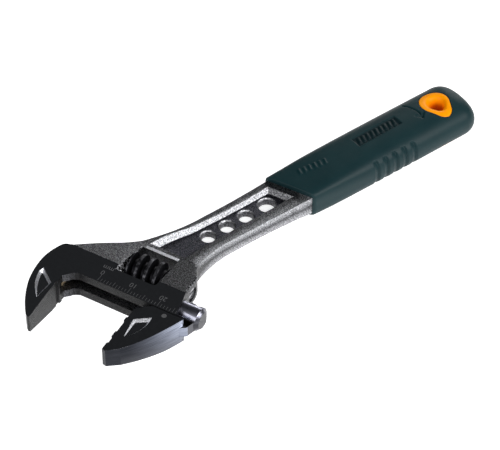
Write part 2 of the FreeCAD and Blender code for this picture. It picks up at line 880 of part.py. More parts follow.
finished = [
    make_forged_body(),
    make_movable_jaw(),
    make_worm(),
    make_pin(),
    make_spring(),
    make_grip(),
    make_eyelet(),
]
doc.recompute()
centre_on_base(finished)
check_document(finished)
os.makedirs("parts", exist_ok=True)
for part in finished:
    part.Shape.exportStep(f"parts/{part.Label}.step")
    print(part.Label, len(part.Shape.Solids), round(part.Shape.Volume, 1), part.Shape.optimalBoundingBox())
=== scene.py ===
import math

import bpy
import numpy as np
from mathutils import Matrix, Vector


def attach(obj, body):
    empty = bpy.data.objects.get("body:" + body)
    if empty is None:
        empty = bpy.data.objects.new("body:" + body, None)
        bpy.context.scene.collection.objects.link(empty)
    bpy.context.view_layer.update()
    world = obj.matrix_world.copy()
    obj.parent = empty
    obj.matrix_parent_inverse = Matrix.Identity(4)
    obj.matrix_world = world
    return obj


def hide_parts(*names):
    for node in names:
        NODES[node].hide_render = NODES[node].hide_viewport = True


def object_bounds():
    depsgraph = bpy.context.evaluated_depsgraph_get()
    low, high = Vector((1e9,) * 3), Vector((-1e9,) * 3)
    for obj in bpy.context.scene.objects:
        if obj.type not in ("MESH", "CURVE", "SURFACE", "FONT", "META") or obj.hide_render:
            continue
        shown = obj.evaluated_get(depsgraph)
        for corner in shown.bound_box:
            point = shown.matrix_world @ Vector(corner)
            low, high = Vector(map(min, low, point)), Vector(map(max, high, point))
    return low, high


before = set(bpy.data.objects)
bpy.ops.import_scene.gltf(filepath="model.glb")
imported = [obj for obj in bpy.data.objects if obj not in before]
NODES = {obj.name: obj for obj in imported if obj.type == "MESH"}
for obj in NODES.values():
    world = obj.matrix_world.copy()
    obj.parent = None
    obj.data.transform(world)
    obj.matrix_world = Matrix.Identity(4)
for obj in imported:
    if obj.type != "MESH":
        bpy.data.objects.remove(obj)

CAD_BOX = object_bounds()
MM = 0.001

# The handle frame's origin in the row frame, and the turn from it to the head frame.
ORIGIN = Vector((-77.366, 2.72, 6.3038)) * MM
ANGLE = math.radians(22.5)
ALONG_A = (math.cos(ANGLE), math.sin(ANGLE), 0)
ALONG_B = (-math.sin(ANGLE), math.cos(ANGLE), 0)
UP = (0, 0, 1)

# Half thicknesses of the head and of the movable jaw, in millimetres.
HEAD_HALF = 4.6
JAW_HALF = 4.4

# Places on the head frame's a, in metres, used by the materials.
POLISH_END = 0.02925
POCKET_END = 0.0200
NOSE_END = 0.0203
WORM_AXIS = 0.0332
CREST_RADIUS = 0.0054

# The grip's sunk panel: its centre and size in millimetres.
PANEL_CENTRE = (123.4, 1.4)
PANEL_SIZE = (16.4, 3.8)


def handle(x, y, z=0.0):
    """A point of the handle frame, given in millimetres, in the row frame."""
    return ORIGIN + Vector((x, y, z)) * MM


def head(a, b, z=0.0):
    """A point of the head frame: a along the jaw faces, b towards the fixed jaw."""
    x = a * math.cos(ANGLE) - b * math.sin(ANGLE)
    y = a * math.sin(ANGLE) + b * math.cos(ANGLE)
    return handle(x, y, z)


# ---------------------------------------------------------------- materials


class Shader:
    """A material's node tree, with short calls for the nodes used here."""

    def __init__(self, name):
        self.material = bpy.data.materials.new(name)
        self.material.use_nodes = True
        self.tree = self.material.node_tree
        self.bsdf = self.tree.nodes["Principled BSDF"]
        self.place = self.add("ShaderNodeTexCoord").outputs["Object"]

    def add(self, kind, **settings):
        node = self.tree.nodes.new(kind)
        for name, value in settings.items():
            setattr(node, name, value)
        return node

    def plug(self, value, socket):
        if isinstance(value, bpy.types.NodeSocket):
            self.tree.links.new(value, socket)
        elif value is not None:
            socket.default_value = value

    def math(self, operation, first, second=None):
        node = self.add("ShaderNodeMath", operation=operation)
        self.plug(first, node.inputs[0])
        self.plug(second, node.inputs[1])
        return node.outputs[0]

    def both(self, *masks):
        """1 where every mask is 1."""
        product = masks[0]
        for mask in masks[1:]:
            product = self.math("MULTIPLY", product, mask)
        return product

    def within(self, value, low, high):
        """1 where the value lies between low and high."""
        return self.both(self.math("GREATER_THAN", value, low), self.math("LESS_THAN", value, high))

    def stretch(self, scale):
        """The place scaled by axis, in repeats per metre."""
        node = self.add("ShaderNodeMapping")
        self.plug(self.place, node.inputs["Vector"])
        node.inputs["Scale"].default_value = scale
        return node.outputs["Vector"]

    def noise(self, scale, detail=3.0, vector=None, roughness=0.55):
        node = self.add("ShaderNodeTexNoise")
        self.plug(self.place if vector is None else vector, node.inputs["Vector"])
        node.inputs["Scale"].default_value = scale
        node.inputs["Detail"].default_value = detail
        node.inputs["Roughness"].default_value = roughness
        return node.outputs["Fac"]

    def ramp(self, value, low, high, out_low=0.0, out_high=1.0):
        node = self.add("ShaderNodeMapRange")
        self.plug(value, node.inputs["Value"])
        limits = {"From Min": low, "From Max": high, "To Min": out_low, "To Max": out_high}
        for name, number in limits.items():
            self.plug(number, node.inputs[name])
        return node.outputs["Result"]

    def mix(self, factor, first, second):
        """Mixes two colours."""
        node = self.add("ShaderNodeMix", data_type="RGBA")
        self.plug(factor, node.inputs[0])
        self.plug(first, node.inputs[6])
        self.plug(second, node.inputs[7])
        return node.outputs[2]

    def blend(self, factor, first, second):
        """Mixes two numbers."""
        node = self.add("ShaderNodeMix", data_type="FLOAT")
        self.plug(factor, node.inputs[0])
        self.plug(first, node.inputs[2])
        self.plug(second, node.inputs[3])
        return node.outputs[0]

    def bump(self, height, distance, strength=1.0):
        node = self.add("ShaderNodeBump")
        self.plug(height, node.inputs["Height"])
        node.inputs["Distance"].default_value = distance
        node.inputs["Strength"].default_value = strength
        self.plug(node.outputs["Normal"], self.bsdf.inputs["Normal"])

    def along(self, direction):
        """Distance from the handle frame's origin along a direction, in metres."""
        shift = self.add("ShaderNodeVectorMath", operation="SUBTRACT")
        self.plug(self.place, shift.inputs[0])
        shift.inputs[1].default_value = ORIGIN
        node = self.add("ShaderNodeVectorMath", operation="DOT_PRODUCT")
        self.plug(shift.outputs["Vector"], node.inputs[0])
        node.inputs[1].default_value = direction
        return node.outputs["Value"]

    def depth(self):
        """Distance from the wrench's middle plane."""
        return self.math("ABSOLUTE", self.along(UP))

    def flatness(self):
        """1 on faces square to the thickness, 0 on upright faces."""
        return self.math("ABSOLUTE", self.facing(UP))

    def facing(self, direction):
        """How far the surface faces a fixed direction of the object."""
        normal = self.add("ShaderNodeNewGeometry").outputs["Normal"]
        node = self.add("ShaderNodeVectorMath", operation="DOT_PRODUCT")
        self.plug(normal, node.inputs[0])
        node.inputs[1].default_value = direction
        return node.outputs["Value"]

    def finish(self, colour, roughness, metallic=0.0, **more):
        self.plug(colour, self.bsdf.inputs["Base Color"])
        self.plug(roughness, self.bsdf.inputs["Roughness"])
        self.plug(metallic, self.bsdf.inputs["Metallic"])
        for name, value in more.items():
            self.bsdf.inputs[name].default_value = value
        return self.material


def grey(level, blue=1.06):
    return (level, level * 1.01, level * blue, 1.0)


def forged_material():
    """Plated forging: polished side faces on the head, a blasted finish elsewhere with painted shade and
    painted highlights, ground jaw faces painted almost black as painted shade.
    """
    s = Shader("forged_steel")
    a, b, depth = s.along(ALONG_A), s.along(ALONG_B), s.depth()
    flat = s.flatness()
    on_head = s.math("LESS_THAN", a, POLISH_END)

    # which faces are polished, and which are ground
    outer = s.both(on_head, s.math("GREATER_THAN", depth, 0.0022))
    pocket = s.both(s.ramp(flat, 0.5, 0.56), s.math("LESS_THAN", a, POCKET_END))
    polished = s.both(s.math("MAXIMUM", s.ramp(flat, 0.955, 0.975), pocket), outer)
    pocket_wall = s.both(polished, s.ramp(flat, 0.93, 0.86))
    jaw_face = s.ramp(s.facing((math.sin(ANGLE), -math.cos(ANGLE), 0)), 0.8, 0.95)
    cheek = s.ramp(s.facing((-math.cos(ANGLE), -math.sin(ANGLE), 0)), 0.6, 0.9)
    ground = s.both(s.math("MAXIMUM", jaw_face, cheek), on_head)

    # the blasted finish is a speckle; upright faces are painted darker than faces square to the thickness, as
    # painted shade
    grain = s.noise(3000.0, 3.0, roughness=0.8)
    patches = s.noise(160.0, 4.0)
    speckle = s.ramp(grain, 0.44, 0.62)
    upward = s.ramp(flat, 0.1, 0.75)
    dark = s.mix(upward, grey(0.02), grey(0.03))
    light = s.mix(upward, grey(0.17, 1.12), grey(0.34))
    blasted_with_painted_light = s.mix(speckle, dark, light)
    blasted_with_painted_light = s.mix(s.ramp(patches, 0.3, 0.7, 0.0, 0.3), blasted_with_painted_light, grey(0.09))
    # painted shade: the blasted finish is painted darker beside the window
    window_shade = s.both(s.ramp(b, -0.012, -0.022), s.ramp(a, 0.066, 0.042))
    blasted_with_painted_light = s.mix(window_shade, blasted_with_painted_light, s.mix(speckle, grey(0.012), grey(0.15)))
    # painted highlight: the recess's wall by the upper flange is painted bright, in a speckle
    outward = s.math("MULTIPLY", flat, 0.7)
    wall_highlight = s.ramp(s.math("ADD", s.facing((0, -0.7, 0)), outward), 0.70, 0.8)
    wall_highlight = s.both(wall_highlight, s.math("GREATER_THAN", a, 0.0405))
    blasted_with_painted_light = s.mix(wall_highlight, blasted_with_painted_light, s.mix(speckle, grey(0.14), grey(0.78)))
    # painted shade: the web between the recesses is painted darker than the flanges
    web_shade = s.both(s.math("LESS_THAN", depth, 0.00152), s.math("GREATER_THAN", a, 0.0415))
    web_shade = s.both(web_shade, s.ramp(flat, 0.97, 0.99))
    blasted_with_painted_light = s.mix(web_shade, blasted_with_painted_light, s.mix(speckle, grey(0.03, 1.2), grey(0.16, 1.2)))
    # the rim along the window's upper wall is rough as cast; its shading is painted as a coarse pattern of
    # painted shade and painted highlight
    inward = s.facing((math.sin(ANGLE) * 0.7, -math.cos(ANGLE) * 0.7, 0))
    cast_rim_shading = s.ramp(s.math("ADD", inward, outward), 0.85, 0.93)
    cast_rim_shading = s.both(cast_rim_shading, s.math("LESS_THAN", a, 0.0398), s.math("LESS_THAN", b, -0.007))
    coarse = s.ramp(s.noise(1500.0, 4.0, roughness=0.8), 0.48, 0.6)
    blasted_with_painted_light = s.mix(cast_rim_shading, blasted_with_painted_light, s.mix(coarse, grey(0.006), grey(0.42)))
    # painted highlight: the ridge behind the window is painted bright
    ridge_highlight = s.both(s.within(a, 0.0393, 0.0407), s.ramp(flat, 0.3, 0.6), s.within(b, -0.0212, -0.0103))
    blasted_with_painted_light = s.mix(ridge_highlight, blasted_with_painted_light, s.mix(speckle, grey(0.45), grey(0.95)))

    lines = s.noise(1.0, 4.0, s.stretch((260.0, 260.0, 7000.0)))
    # painted shade: the ground jaw face and cheeks are painted almost black, darker than ground steel, with
    # faint grinding lines
    ground_painted_shade = s.mix(s.ramp(lines, 0.3, 0.7), grey(0.006), grey(0.018))
    colour = s.mix(ground, blasted_with_painted_light, ground_painted_shade)
    # old grease and rust at the closed end of the slot
    in_slot = s.both(s.math("LESS_THAN", depth, 0.00186), s.ramp(b, -0.009, -0.002))
    in_slot = s.both(in_slot, s.within(a, 0.0186, 0.0285), s.math("LESS_THAN", b, 0.0075))
    colour = s.mix(in_slot, colour, s.mix(speckle, (0.26, 0.20, 0.12, 1), (0.62, 0.50, 0.33, 1)))
    smooth = s.noise(900.0, 3.0)
    mirror = s.mix(s.ramp(smooth, 0.2, 0.8), grey(0.46), grey(0.52))
    mirror = s.mix(pocket_wall, mirror, s.mix(s.ramp(grain, 0.35, 0.65), grey(0.30), grey(0.95)))
    colour = s.mix(polished, colour, mirror)

    rough = s.blend(ground, s.ramp(grain, 0.3, 0.7, 0.3, 0.44), 0.33)
    rough = s.blend(polished, rough, s.ramp(smooth, 0.2, 0.8, 0.06, 0.12))
    rough = s.blend(pocket_wall, rough, 0.42)
    height = s.math("MULTIPLY", grain, s.math("SUBTRACT", 1.0, polished))
    s.bump(height, 0.00016, 0.7)
    return s.finish(colour, rough, s.math("SUBTRACT", 1.0, in_slot))


def jaw_material():
    """Polished sides, a back brushed along its length with painted shade at the tip and a painted highlight
    towards the rear and its upper half, satin ridges, and a web and rib with painted shade and highlight.
    """
    s = Shader("jaw_steel")
    a = s.along(ALONG_A)
    flat = s.flatness()
    nose = s.math("LESS_THAN", a, NOSE_END)
    side = s.both(s.ramp(flat, 0.5, 0.56), nose)
    pocket_wall = s.both(side, s.ramp(flat, 0.93, 0.86))
    lines = s.noise(1.0, 5.0, s.stretch((170.0, 170.0, 7800.0)))
    # painted light: the back's colour runs from near black at the tip, painted shade, to bright at the rear,
    # a painted highlight
    reach = s.ramp(a, 0.003, 0.0195)
    reach = s.math("MULTIPLY", reach, reach)
    # painted highlight: the back is painted brightest in its upper half
    upper_half_highlight = s.ramp(s.along(UP), -0.004, 0.0035, 0.35, 1.0)
    reach = s.math("MULTIPLY", reach, upper_half_highlight)
    low = s.mix(reach, (0.012, 0.013, 0.017, 1), (0.20, 0.22, 0.28, 1))
    high = s.mix(reach, (0.030, 0.032, 0.039, 1), (0.46, 0.50, 0.62, 1))
    brushed_with_painted_light = s.mix(s.ramp(lines, 0.35, 0.65), low, high)
    # painted shade and highlight: the web behind the nose is painted dark on its flat faces, the rib painted
    # brighter where it faces up
    rib = s.ramp(a, 0.0222, 0.0226)
    tail_shade_and_highlight = s.mix(s.ramp(flat, 0.5, 0.9), grey(0.09, 1.15), grey(0.012))
    tail_shade_and_highlight = s.mix(rib, tail_shade_and_highlight, s.mix(s.ramp(flat, 0.2, 0.75), grey(0.05, 1.15), grey(0.24, 1.2)))
    brushed_with_painted_light = s.mix(nose, tail_shade_and_highlight, brushed_with_painted_light)
    smooth = s.noise(900.0, 3.0)
    mirror = s.mix(s.ramp(smooth, 0.2, 0.8), grey(0.42), grey(0.5))
    mirror = s.mix(pocket_wall, mirror, s.mix(s.ramp(s.noise(3000.0), 0.35, 0.65), grey(0.30), grey(0.95)))
    colour = s.mix(side, brushed_with_painted_light, mirror)
    rough = s.blend(side, s.ramp(lines, 0.2, 0.8, 0.24, 0.36), s.ramp(smooth, 0.2, 0.8, 0.07, 0.13))
    rough = s.blend(pocket_wall, rough, 0.42)
    s.bump(s.math("MULTIPLY", lines, s.math("SUBTRACT", 1.0, side)), 0.00004, 0.5)
    return s.finish(colour, rough, 1.0)


def worm_material():
    """Black finish, with the thread's crest worn a little."""
    s = Shader("worm_steel")
    fine = s.noise(1600.0, 4.0)
    across = s.math("SUBTRACT", s.along(ALONG_A), WORM_AXIS)
    up = s.along(UP)
    squares = s.math("ADD", s.math("MULTIPLY", across, across), s.math("MULTIPLY", up, up))
    radius = s.math("SQRT", squares)
    crest = s.ramp(radius, CREST_RADIUS - 0.00005, CREST_RADIUS + 0.00005)
    wear = s.math("MULTIPLY", crest, s.ramp(s.noise(900.0, 5.0), 0.42, 0.62))
    colour = s.mix(wear, (0.008, 0.008, 0.010, 1), (0.09, 0.09, 0.10, 1))
    s.bump(fine, 0.00005, 0.4)
    return s.finish(colour, s.ramp(fine, 0.3, 0.7, 0.42, 0.58), 0.9)


def pin_material():
    s = Shader("pin_steel")
    turned = s.noise(2200.0, 3.0)
    colour = s.mix(s.ramp(turned, 0.3, 0.7), grey(0.34), grey(0.58))
    s.bump(turned, 0.00004, 0.4)
    return s.finish(colour, s.ramp(turned, 0.3, 0.7, 0.22, 0.4), 1.0)


def spring_material():
    s = Shader("spring_steel")
    drawn = s.noise(2600.0, 2.0)
    colour = s.mix(s.ramp(drawn, 0.3, 0.7), grey(0.4), grey(0.6))
    s.bump(drawn, 0.00002, 0.3)
    return s.finish(colour, s.ramp(drawn, 0.3, 0.7, 0.25, 0.38), 1.0)


def grip_material():
    """Soft moulded plastic with a fine matte texture."""
    s = Shader("grip_plastic")
    fine = s.noise(5200.0, 2.0, roughness=0.7)
    broad = s.noise(120.0, 4.0)
    colour = s.mix(s.ramp(broad, 0.3, 0.7), (0.0030, 0.0205, 0.0245, 1), (0.0045, 0.0250, 0.0290, 1))
    # painted shade: the sunk panel's floor is painted darker
    panel = s.math("GREATER_THAN", s.along(UP), 0.0)
    for way, centre, size in zip(((1, 0, 0), (0, 1, 0)), PANEL_CENTRE, PANEL_SIZE):
        reach = size / 2 + 0.1
        panel = s.both(panel, s.within(s.along(way), (centre - reach) * MM, (centre + reach) * MM))
    colour = s.mix(panel, colour, (0.0030, 0.0140, 0.0170, 1))
    s.bump(fine, 0.00005, 0.45)
    rough = s.math("ADD", s.ramp(fine, 0.3, 0.7, 0.42, 0.54), s.ramp(broad, 0.3, 0.7, -0.03, 0.03))
    return s.finish(colour, rough, 0.0, **{"Specular IOR Level": 0.2})


def eyelet_material():
    s = Shader("eyelet_plastic")
    # painted shade: the funnel into the bore is painted darker orange the deeper it goes
    funnel_shade = s.ramp(s.depth(), 0.0052, 0.0032)
    broad = s.noise(500.0, 3.0)
    face = s.mix(s.ramp(broad, 0.3, 0.7), (1.0, 0.31, 0.0, 1), (1.0, 0.35, 0.0, 1))
    colour = s.mix(funnel_shade, face, (0.62, 0.10, 0.0, 1))
    s.bump(s.noise(3800.0, 2.0), 0.00003, 0.3)
    return s.finish(colour, s.ramp(broad, 0.3, 0.7, 0.34, 0.44), 0.0, **{"Specular IOR Level": 0.1})


# The floor is a light table: it glows a little, as the backdrop of a product photo does.
FLOOR_GLOW = 0.75


def floor_material():
    s = Shader("studio_floor")
    level = s.noise(8.0, 2.0)
    colour = s.mix(s.ramp(level, 0.3, 0.7), (0.88, 0.88, 0.88, 1), (0.90, 0.90, 0.90, 1))
    glow = {"Emission Color": (1.0, 1.0, 1.0, 1.0), "Emission Strength": FLOOR_GLOW}
    return s.finish(colour, 0.9, **glow)


MATERIALS = {
    "forged_body": forged_material(),
    "movable_jaw": jaw_material(),
    "adjusting_worm": worm_material(),
    "worm_pin": pin_material(),
    "worm_spring": spring_material(),
    "grip_sleeve": grip_material(),
    "hang_eyelet": eyelet_material(),
}


def dress(node, width):
    """Gives a CAD node its material and softly rounded edges."""
    obj = NODES[node]
    obj.data.materials.clear()
    obj.data.materials.append(MATERIALS[node])
    if width:
        weld = obj.modifiers.new("weld", "WELD")
        weld.merge_threshold = 2e-6
        bevel = obj.modifiers.new("round", "BEVEL")
        bevel.width = width * MM
        bevel.segments = 2
        bevel.limit_method = "ANGLE"
        bevel.angle_limit = math.radians(28)


for node, width in (
    ("forged_body", 0.2),
    ("movable_jaw", 0.16),
    ("adjusting_worm", 0.08),
    ("worm_pin", 0.05),
    ("worm_spring", 0.0),
    ("grip_sleeve", 0.0),
    ("hang_eyelet", 0.0),
):
    dress(node, width)


# ---------------------------------------------------------------- pieces modelled here


def smooth_step(value, low, high):
    """0 below low, 1 above high, and smooth between."""
    t = np.clip((value - low) / (high - low), 0.0, 1.0)
    return t * t * (3 - 2 * t)


def make_piece(name, points, faces, material, body, smooth=True):
    """A mesh piece from points in millimetres of the handle frame."""
    mesh = bpy.data.meshes.new(name)
    shifted = np.asarray(points) * MM + np.array(ORIGIN)
    mesh.from_pydata([tuple(p) for p in shifted], [], [tuple(f) for f in faces])
    mesh.materials.append(material)
    mesh.polygons.foreach_set("use_smooth", [smooth] * len(mesh.polygons))
    mesh.update()
    obj = bpy.data.objects.new(name, mesh)
    bpy.context.scene.collection.objects.link(obj)
    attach(obj, body)
    return obj


def ring_faces(rows, columns):
    """Quads between closed rings of points, each ring with the same number of points."""
    faces = []
    for row in range(rows - 1):
        for column in range(columns):
            following = (column + 1) % columns
            base = row * columns
            above = base + columns
            faces.append((base + column, base + following, above + following, above + column))
    return faces


GRIP_FRONT = 82.1
GRIP_NOSE = 150.6
GRIP_END = 156.4
# Stations along the handle: half width, half thickness and squareness of the grip's section.
GRIP_X = (84.0, 92.0, 100.0, 108.0, 116.0, 126.0, 136.0, 150.0)
GRIP_WIDTH = (7.75, 8.15, 8.65, 9.0, 9.3, 9.5, 9.6, 9.6)
GRIP_THICK = (4.25, 4.75, 5.3, 5.75, 6.05, 6.25, 6.28, 6.2)
GRIP_SQUARE = (7.0, 5.2, 3.9, 3.1, 2.65, 2.4, 2.3, 2.3)


def grip_radius(x, angle, inset=0.0):
    """Distance from the handle's axis to the grip's surface, at a place along it and an angle round it."""
    width = np.interp(x, GRIP_X, GRIP_WIDTH) - inset
    thick = np.interp(x, GRIP_X, GRIP_THICK) - inset
    power = np.interp(x, GRIP_X, GRIP_SQUARE)
    total = (np.abs(np.cos(angle)) / width) ** power + (np.abs(np.sin(angle)) / thick) ** power
    return total ** (-1 / power)


def grip_top(x, y):
    """Height of the grip's top at a place, from the handle's middle plane."""
    width = np.interp(x, GRIP_X, GRIP_WIDTH)
    thick = np.interp(x, GRIP_X, GRIP_THICK)
    power = np.interp(x, GRIP_X, GRIP_SQUARE)
    return thick * (1 - (np.abs(y) / width) ** power) ** (1 / power)


def box_mask(x, y, centre, size, edge=0.12, slant=0.0):
    """1 inside a rectangle with soft edges, which may be slanted."""
    across = np.abs(x - centre[0] - slant * (y - centre[1])) - size[0] / 2
    along = np.abs(y - centre[1]) - size[1] / 2
    return 1 - smooth_step(np.maximum(across, along), -edge, edge)


def capsule_mask(x, along, centre, radius, reach, edge=0.14):
    """1 inside a capsule that runs round the grip's side."""
    beyond = np.maximum(np.abs(along) - reach, 0.0)
    distance = np.hypot(x - centre, beyond)
    return 1 - smooth_step(distance, radius - edge, radius + edge)


def stroke_mask(x, y, points, width, edge=0.1):
    """1 near a line through the points."""
    nearest = np.full(np.shape(x), 99.0)
    for (x0, y0), (x1, y1) in zip(points[:-1], points[1:]):
        run = (x1 - x0) ** 2 + (y1 - y0) ** 2
        t = np.clip(((x - x0) * (x1 - x0) + (y - y0) * (y1 - y0)) / run, 0, 1)
        nearest = np.minimum(nearest, np.hypot(x - x0 - t * (x1 - x0), y - y0 - t * (y1 - y0)))
    return 1 - smooth_step(nearest, width / 2 - edge, width / 2 + edge)


def grip_relief(x, y, z, along):
    """Depth of the moulded detail, in millimetres: finger grooves, panel, marks and the turning arrow."""
    top = smooth_step(z, 0.5, 1.5)
    depth = np.zeros_like(x)
    # finger grooves round one side, each shallow in front and steep at its back
    near_side = (y < 0).astype(float)
    for number in range(5):
        centre = 115.5 + 3.6 * number
        slope = np.clip((x - centre + 1.1) / 1.9, 0, 1)
        depth += near_side * 0.62 * slope * capsule_mask(x, along, centre, 0.85, 4.3)
    # plain panel with raised slanted bars where the real grip has its name
    panel = box_mask(x, y, PANEL_CENTRE, PANEL_SIZE)
    bars = np.zeros_like(x)
    for number in range(9):
        bars += box_mask(x, y, (116.7 + 1.68 * number, PANEL_CENTRE[1]), (0.85, 2.7), 0.1, 0.3)
    depth += top * 0.5 * panel * (1 - 0.8 * bars)
    # short raised bars where the real grip has its size
    for number in range(6):
        place = (94.6 + 1.7 * number, 2.4 - 0.28 * number)
        depth -= top * 0.26 * box_mask(x, y, place, (0.75, 2.2), 0.12, 0.3)
    # arrow across the grip
    arc = [(137.4, 6.0), (138.0, 4.1), (138.5, 2.4), (138.75, 1.0), (138.75, -0.6), (138.4, -2.2)]
    depth += top * 0.42 * stroke_mask(x, y, arc, 0.5)
    for barb in ((137.1, -0.7), (140.0, -0.9)):
        depth += top * 0.42 * stroke_mask(x, y, [barb, arc[-1]], 0.6)
    return depth


def make_grip():
    """The moulded sleeve: rings of points from front face to rounded end, with the relief pressed in."""
    columns = 232
    turns = np.linspace(0, 2 * math.pi, columns, endpoint=False)
    angle = np.arctan2(0.62 * np.sin(turns), np.cos(turns))
    rings = []

    def ring(place, scale_width=1.0, scale_thick=1.0, inset=0.0):
        """place gives x for an array of y."""
        y = 8.0 * np.cos(angle)
        for _ in range(5):
            x = place(y)
            radius = grip_radius(x, angle, inset)
            y = radius * np.cos(angle) * scale_width
        z = radius * np.sin(angle) * scale_thick
        return np.stack([x, y, z], axis=1)

    def sloped(offset):
        """x on a plane square to the jaw faces, at an offset behind the grip's front."""
        return lambda y: (GRIP_FRONT + offset - y * math.sin(ANGLE)) / math.cos(ANGLE)

    # front face, from inside the handle out to a rounded rim
    start = sloped(0.0)
    inner = ring(start)
    half_width, half_thickness, power = 6.6, 2.7, 14
    across = (np.abs(np.cos(angle)) / half_width) ** power
    total = across + (np.abs(np.sin(angle)) / half_thickness) ** power
    hub = total ** (-1 / power)
    inner[:, 1] = hub * np.cos(angle)
    inner[:, 2] = hub * np.sin(angle)
    inner[:, 0] = start(inner[:, 1])
    rings.append(inner)
    rounding = 0.45
    for bend in (0.0, 25.0, 50.0, 70.0, 90.0):
        turn = math.radians(bend)
        place = sloped(rounding * (1 - math.cos(turn)))
        rings.append(ring(place, inset=rounding * (1 - math.sin(turn))))
    body_start = len(rings)
    meeting = 104.0
    for step in np.linspace(0, 1, 72)[1:]:
        place = sloped(rounding)
        rings.append(ring(lambda y: place(y) * (1 - step) + meeting * step))
    for x in np.arange(meeting, GRIP_NOSE, 0.2)[1:]:
        rings.append(ring(lambda y: np.full_like(y, x)))
    body_end = len(rings)
    for turn in np.radians(np.linspace(0, 84, 26)):
        x = GRIP_NOSE + (GRIP_END - GRIP_NOSE) * math.sin(turn) ** 0.95
        wide = math.cos(turn) ** 0.5
        thick = math.cos(turn) ** 0.7
        rings.append(ring(lambda y: np.full_like(y, x), wide, thick))
    points = np.array(rings)
    x, y, z = points[..., 0], points[..., 1], points[..., 2]
    after = np.roll(points, -1, axis=1)
    before = np.roll(points, 1, axis=1)
    tangent = after - before
    length = np.hypot(tangent[..., 1], tangent[..., 2])
    normal_y = tangent[..., 2] / length
    normal_z = -tangent[..., 1] / length
    step = np.hypot(after[..., 1] - y, after[..., 2] - z)
    travel = np.concatenate([np.zeros((len(rings), 1)), np.cumsum(step, axis=1)[:, :-1]], axis=1)
    around = travel[:, -1:] + step[:, -1:]
    # distance along the section from the nearer edge of the grip, on either side
    along = np.abs((travel + around / 4) % (around / 2) - around / 4)
    depth = grip_relief(x, y, z, along)
    depth[:body_start] = 0
    depth[body_end:] = 0
    points[..., 1] -= depth * normal_y
    points[..., 2] -= depth * normal_z
    flat = points.reshape(-1, 3).tolist()
    rows = len(rings)
    faces = ring_faces(rows, columns)
    flat.append([GRIP_END, 0.0, 0.0])
    last = (rows - 1) * columns
    for column in range(columns):
        faces.append((last + column, last + (column + 1) % columns, rows * columns))
    # the sleeve is closed inside the handle, so that the cut for the eyelet works on a solid
    flat.append([GRIP_FRONT / math.cos(ANGLE), 0.0, 0.0])
    for column in range(columns):
        faces.append(((column + 1) % columns, column, rows * columns + 1))
    grip = make_piece("grip", flat, faces, MATERIALS["grip_sleeve"], "frame")
    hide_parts("grip_sleeve")
    return grip


# The eyelet's outline: circles that it goes round, each with its centre and radius.
EYELET_CIRCLES = ((145.65, 0.75, 4.7), (145.75, -2.9, 2.95), (145.85, -5.15, 0.85))


def eyelet_outline(grow, count=96):
    """Points of the eyelet's outline, evenly spaced."""
    corners = []
    for turn in np.linspace(0, 2 * math.pi, 720, endpoint=False):
        way = (math.cos(turn), math.sin(turn))
        x, y, radius = max(EYELET_CIRCLES, key=lambda c: c[0] * way[0] + c[1] * way[1] + c[2])
        corners.append((x + (radius + grow) * way[0], y + (radius + grow) * way[1]))
    corners = np.array(corners + corners[:1])
    travel = np.concatenate([[0], np.cumsum(np.hypot(*np.diff(corners, axis=0).T))])
    wanted = np.linspace(0, travel[-1], count, endpoint=False)
    return np.stack([np.interp(wanted, travel, corners[:, k]) for k in (0, 1)], axis=1)


def cut_eyelet_hole(grip):
    """Cuts a teardrop opening, a little larger than the eyelet, right through the grip."""
    outline = eyelet_outline(0.16, 120)
    count = len(outline)
    mesh = bpy.data.meshes.new("eyelet_cutter")
    points = [tuple(handle(x, y, z)) for z in (-8, 8) for x, y in outline]
    faces = ring_faces(2, count) + [tuple(range(count - 1, -1, -1)), tuple(range(count, 2 * count))]
    mesh.from_pydata(points, [], faces)
    cutter = bpy.data.objects.new("eyelet_cutter", mesh)
    bpy.context.scene.collection.objects.link(cutter)
    cut = grip.modifiers.new("cut", "BOOLEAN")
    cut.operation = "DIFFERENCE"
    cut.solver = "EXACT"
    cut.object = cutter
    bpy.context.view_layer.update()
    graph = bpy.context.evaluated_depsgraph_get()
    shaped = bpy.data.meshes.new_from_object(grip.evaluated_get(graph))
    grip.modifiers.clear()
    grip.data = shaped
    bpy.data.objects.remove(cutter)


def make_eyelet():
    """Teardrop eyelet with a dished funnel on each side, running into the bore."""
    outline = eyelet_outline(0.0)
    count = len(outline)
    hole = np.array([146.0, 0.0])
    bore = 2.0
    throat = 3.4
    turns = np.arctan2(outline[:, 1] - hole[1], outline[:, 0] - hole[0])
    circle = hole + bore * np.stack([np.cos(turns), np.sin(turns)], axis=1)
    top = grip_top(outline[:, 0], outline[:, 1])
    rings = []
    rim = 0.12
    inward = outline + (hole - outline) * (rim / np.hypot(*(hole - outline).T))[:, None]
    steps = 16

    def level(plan, height):
        rings.append(np.concatenate([plan, np.reshape(height, (-1, 1)) * np.ones((count, 1))], axis=1))

    for side in (1, -1):
        part = []
        part.append((outline, side * (top - rim)))
        part.append((outline + (inward - outline) * 0.3, side * (top - rim * 0.3)))
        for step in range(steps + 1):
            t = step / steps
            plan = inward + (circle - inward) * t
            flat = grip_top(plan[:, 0], plan[:, 1])
            dish = t ** 4.5
            part.append((plan, side * (flat * (1 - dish) + throat * dish)))
        if side < 0:
            part.reverse()
        for plan, height in part:
            level(plan, height)
        if side > 0:
            for height in np.linspace(throat, -throat, 9)[1:-1]:
                level(circle, np.full(count, height))
    points = np.array(rings)
    rows = len(rings)
    faces = ring_faces(rows, count)
    # outer wall, from the last ring back to the first
    last = (rows - 1) * count
    for column in range(count):
        following = (column + 1) % count
        faces.append((last + column, last + following, following, column))
    eyelet = make_piece(
        "eyelet", points.reshape(-1, 3), faces, MATERIALS["hang_eyelet"], "frame"
    )
    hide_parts("hang_eyelet")


